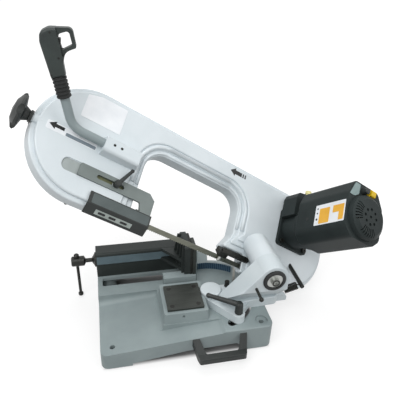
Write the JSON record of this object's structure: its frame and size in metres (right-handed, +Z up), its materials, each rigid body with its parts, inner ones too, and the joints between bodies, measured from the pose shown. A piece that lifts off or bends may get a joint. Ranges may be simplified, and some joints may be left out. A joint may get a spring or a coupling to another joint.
{
  "type": "bench-top band saw",
  "caption": "Bench-top metal-cutting band saw: a tilting C-shaped bow with motor, blade wheels, guides and trigger handle, on a mitring arm above a base with a screw vise.",
  "frame": {"origin": "on the bench plane, at the centre of the four bench-bolt holes in the base", "axes": "+Z up, +X to the right along the lowered blade at zero mitre, +Y to the back, away from the operator"},
  "size_m": [0.7591, 0.3635, 0.6398],
  "materials": {
    "bow_white": "bluish white powder coat",
    "base_grey": "blue-grey paint",
    "jaw_blue": "dark blue-grey paint",
    "black_plastic": "moulded, fine grain",
    "rubber": "matt",
    "steel": "ground",
    "black_steel": "blackened",
    "wheel": "cast",
    "motor_black": "dark grey paint",
    "motor_core": "laminated",
    "tube_grey": "grey paint",
    "yellow": "moulded",
    "pale_yellow": "moulded",
    "scale_blue": "printed strip"
  },
  "bodies": {
    "base": {"base_casting": "base_grey", "rubber_feet": "rubber", "table_plate": "black_steel", "table_screws": "black_steel", "carry_handle": "black_plastic", "fixed_jaw": "base_grey", "fixed_jaw_plate": "steel", "mitre_scale": "scale_blue", "vise_nut": "steel", "mitre_pivot_bolt": "steel"},
    "moving_jaw": {"vise_jaw": "jaw_blue", "moving_jaw_plate": "black_steel"},
    "lead_screw": {"vise_screw": "steel"},
    "crank_bar": {"tommy_bar": "black_steel"},
    "arm": {"swivel_arm": "bow_white", "mitre_pointer": "steel", "mitre_clamp_nut": "steel", "stop_screw": "black_steel", "pivot_shaft": "steel", "pivot_seal_ring": "rubber", "pivot_bolt": "steel", "return_spring": "black_steel"},
    "mitre_clamp": {"mitre_clamp_lever": "black_plastic"},
    "head_lock": {"lock_pin": "black_steel"},
    "bow": {"bow_casting": "bow_white", "rear_cover": "bow_white", "cover_screws": "black_steel", "drive_bearing": "steel", "blade": "steel", "right_guide": "steel", "handle_tube": "tube_grey", "grip_boot": "rubber", "grip_front": "black_plastic", "grip_back": "black_plastic", "grip_screws": "black_steel", "handle_set_screws": "black_steel", "gear_housing": "motor_black", "flange_bolts": "black_steel", "motor_housing": "motor_black", "motor_end_cap": "motor_black", "switch_box": "black_plastic", "box_cap": "pale_yellow", "dial_guard": "yellow", "spring_post": "black_steel"},
    "drive": {"drive_wheel": "wheel", "output_shaft": "steel"},
    "carriage": {"tension_carriage": "steel"},
    "idler": {"idler_wheel": "wheel", "idler_bearing": "steel"},
    "tensioner": {"tension_knob": "black_plastic"},
    "guide": {"guide_arm": "steel", "blade_guard": "black_plastic"},
    "guide_clamp": {"guide_lever": "black_plastic"},
    "switch_trigger": {"trigger": "black_plastic"},
    "motor_rotor": {"rotor": "motor_core"},
    "dial": {"speed_dial": "black_plastic"},
    "left_front_roller": {"left_roller_front": "steel"},
    "left_back_roller": {"left_roller_back": "steel"},
    "right_front_roller": {"right_roller_front": "steel"},
    "right_back_roller": {"right_roller_back": "steel"}
  },
  "joints": [
    {"name": "mitre_swivel", "type": "hinge", "parent": "base", "child": "arm", "pos_m": [0.065, -0.029, 0.08], "axis": [0, 0, 1], "range_deg": [0, 30]},
    {"name": "head_tilt", "type": "hinge", "parent": "arm", "child": "bow", "pos_m": [0.183, -0.05, 0.163], "axis": [0, -1, 0], "range_deg": [0, 32], "stiffness_Nm_per_rad": 12, "springref_deg": -34.38, "deforming": ["return_spring"]},
    {"name": "clamp_turn", "type": "hinge", "parent": "arm", "child": "mitre_clamp", "pos_m": [0.11, -0.102, 0.09], "axis": [0, 0, 1], "range_deg": [0, 60]},
    {"name": "lock_pull", "type": "slide", "parent": "arm", "child": "head_lock", "axis": [0, -1, 0], "range_m": [0, 0.012], "stiffness_N_per_m": 300, "springref_m": -0.01},
    {"name": "vise_slide", "type": "slide", "parent": "base", "child": "moving_jaw", "axis": [-1, 0, 0], "range_m": [0, 0.072]},
    {"name": "screw_turn", "type": "hinge", "parent": "moving_jaw", "child": "lead_screw", "pos_m": [-0.2, 0.107, 0.107], "axis": [1, 0, 0], "range_deg": [0, 6480]},
    {"name": "bar_slide", "type": "slide", "parent": "lead_screw", "child": "crank_bar", "axis": [0, 0, 1], "range_m": [0, 0.035]},
    {"name": "rotor_spin", "type": "hinge", "parent": "bow", "child": "motor_rotor", "pos_m": [0.34883, -0.00314, 0.22268], "axis": [0.3747, -0.7071, 0.5997], "continuous": true},
    {"name": "drive_spin", "type": "hinge", "parent": "bow", "child": "drive", "pos_m": [0.27854, 0.08595, 0.12152], "axis": [0.3747, -0.7071, 0.5997], "continuous": true},
    {"name": "tension_slide", "type": "slide", "parent": "bow", "child": "carriage", "axis": [0.848, 0, -0.5299], "range_m": [0, 0.006]},
    {"name": "idler_spin", "type": "hinge", "parent": "carriage", "child": "idler", "pos_m": [-0.17474, 0.08595, 0.40476], "axis": [0.3747, -0.7071, 0.5997], "continuous": true},
    {"name": "knob_turn", "type": "hinge", "parent": "bow", "child": "tensioner", "pos_m": [-0.2769, 0.07789, 0.47811], "axis": [0.848, 0, -0.5299], "range_deg": [0, 720]},
    {"name": "guide_slide", "type": "slide", "parent": "bow", "child": "guide", "axis": [0.848, 0, -0.5299], "range_m": [-0.01, 0.02]},
    {"name": "guide_lever_turn", "type": "hinge", "parent": "bow", "child": "guide_clamp", "pos_m": [-0.12638, 0.02479, 0.34912], "axis": [0.3747, -0.7071, 0.5997], "range_deg": [-75, 0]},
    {"name": "trigger_pull", "type": "hinge", "parent": "bow", "child": "switch_trigger", "pos_m": [-0.21598, 0.06828, 0.61878], "axis": [0, 1, 0], "range_deg": [0, 8], "stiffness_Nm_per_rad": 0.6, "springref_deg": -5.73},
    {"name": "dial_turn", "type": "hinge", "parent": "bow", "child": "dial", "pos_m": [0.39392, -0.02612, 0.31749], "axis": [0.3747, -0.7071, 0.5997], "range_deg": [0, 270]},
    {"name": "left_front_roll", "type": "hinge", "parent": "guide", "child": "left_front_roller", "pos_m": [-0.09001, 0.0058, 0.26579], "axis": [0.5299, 0, 0.848], "continuous": true},
    {"name": "left_back_roll", "type": "hinge", "parent": "guide", "child": "left_back_roller", "pos_m": [-0.09001, 0.0162, 0.26579], "axis": [0.5299, 0, 0.848], "continuous": true},
    {"name": "right_front_roll", "type": "hinge", "parent": "bow", "child": "right_front_roller", "pos_m": [0.08977, 0.0058, 0.15345], "axis": [0.5299, 0, 0.848], "continuous": true},
    {"name": "right_back_roll", "type": "hinge", "parent": "bow", "child": "right_back_roller", "pos_m": [0.08977, 0.0162, 0.15345], "axis": [0.5299, 0, 0.848], "continuous": true}
  ],
  "couplings": [
    {"joint": "screw_turn", "follows": "vise_slide", "rad_per_m": 1570.8},
    {"joint": "knob_turn", "follows": "tension_slide", "rad_per_m": 2094.4},
    {"joint": "drive_spin", "follows": "rotor_spin", "ratio": 0.05},
    {"joint": "idler_spin", "follows": "rotor_spin", "ratio": 0.05},
    {"joint": "left_front_roll", "follows": "rotor_spin", "ratio": 1.1522},
    {"joint": "left_back_roll", "follows": "rotor_spin", "ratio": -1.1522},
    {"joint": "right_front_roll", "follows": "rotor_spin", "ratio": 1.1522},
    {"joint": "right_back_roll", "follows": "rotor_spin", "ratio": -1.1522}
  ]
}
